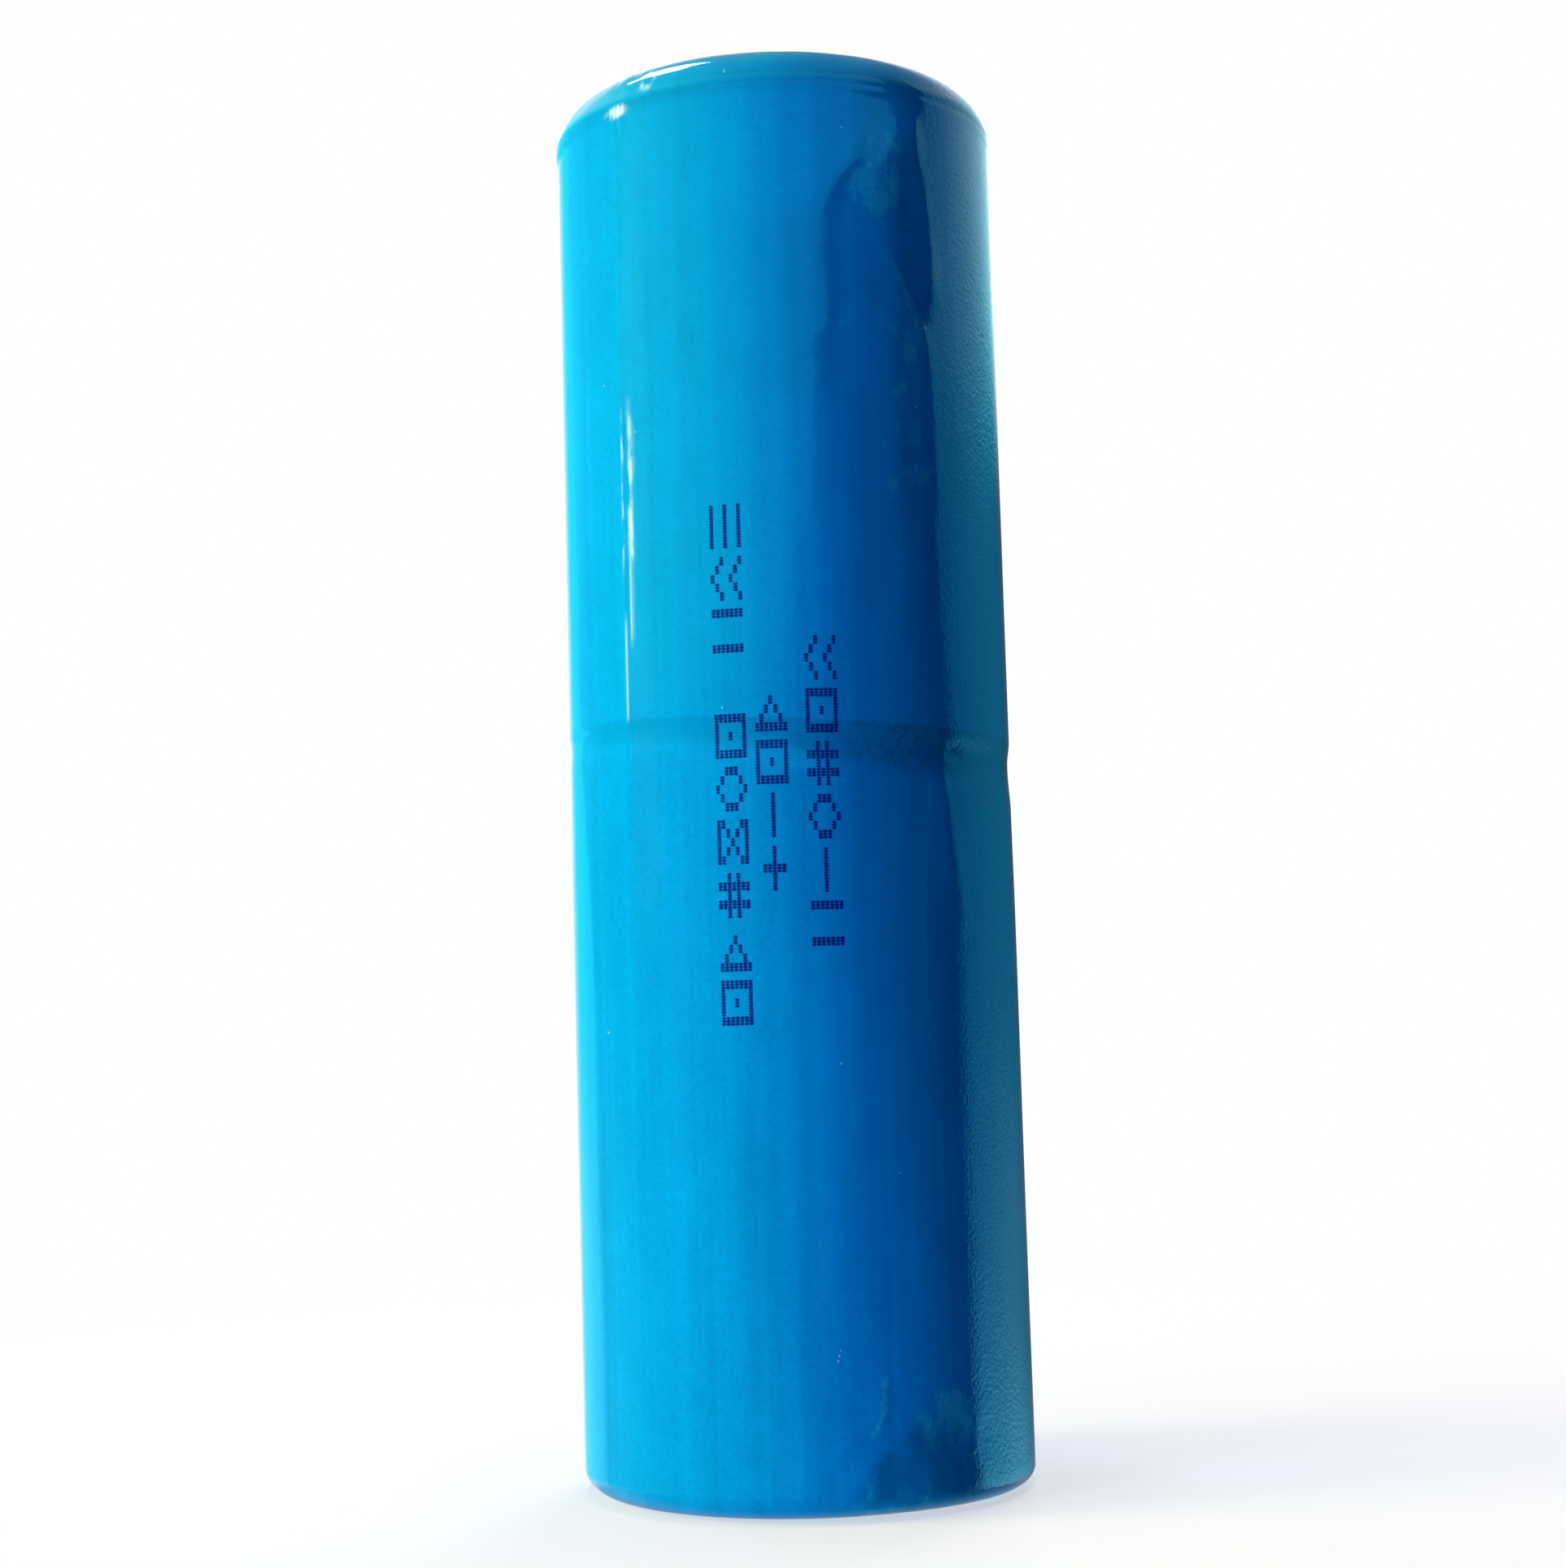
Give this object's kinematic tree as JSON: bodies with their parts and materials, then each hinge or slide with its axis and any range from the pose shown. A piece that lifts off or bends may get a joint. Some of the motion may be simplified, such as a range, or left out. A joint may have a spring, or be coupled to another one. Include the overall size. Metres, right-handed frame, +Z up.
{
  "type": "cylindrical battery",
  "caption": "Cylindrical lithium battery: wound cells in series in a glossy blue heat-shrink sleeve, nub contact on top, flat contact below.",
  "frame": {"origin": "centre of the negative contact's outer face, on which the part stands", "axes": "+Z up the axis towards the positive contact; X and Y are across the cell"},
  "size_m": [0.038, 0.038, 0.1187],
  "materials": {
    "blue_film": "glossy heat-shrink film",
    "ring_moulding": "moulded nylon, natural",
    "spacer_moulding": "moulded, black",
    "nickel_plate": "nickel plated",
    "nickel_ribbon": "nickel ribbon",
    "fish_paper": "vulcanised fibre",
    "fuse_body": "glazed body",
    "can_steel": "nickel plated steel",
    "seal_glass": "sealing glass",
    "pin_alloy": "bare alloy",
    "clear_insulator": "polypropylene",
    "tab_aluminium": "foil",
    "separator_film": "microporous film",
    "carbon_cathode": "pressed carbon",
    "lithium_foil": "lithium foil",
    "wound_electrodes": "wound roll"
  },
  "bodies": {
    "root": {"end_spacer": "spacer_moulding", "fuse_can_lead": "nickel_ribbon", "fuse_contact_lead": "nickel_ribbon", "intercell_disc": "fish_paper", "lower_anode_tab": "nickel_ribbon", "lower_base_pad": "clear_insulator", "lower_can": "can_steel", "lower_cathode_tab": "tab_aluminium", "lower_center_pin": "pin_alloy", "lower_cover": "can_steel", "lower_glass_seal": "seal_glass", "lower_separator_wrap": "separator_film", "lower_top_insulator": "clear_insulator", "lower_wound_roll": "wound_electrodes", "negative_contact": "nickel_plate", "outer_sleeve": "blue_film", "positive_contact": "nickel_plate", "positive_lead": "nickel_ribbon", "positive_washer": "fish_paper", "series_strap": "nickel_ribbon", "thermal_fuse": "fuse_body", "top_ring": "ring_moulding", "upper_anode_tab": "nickel_ribbon", "upper_base_pad": "clear_insulator", "upper_can": "can_steel", "upper_cathode_strip": "carbon_cathode", "upper_cathode_tab": "tab_aluminium", "upper_center_pin": "pin_alloy", "upper_cover": "can_steel", "upper_glass_seal": "seal_glass", "upper_lithium_strip": "lithium_foil", "upper_separator_wrap": "separator_film", "upper_top_insulator": "clear_insulator"}
  },
  "joints": []
}
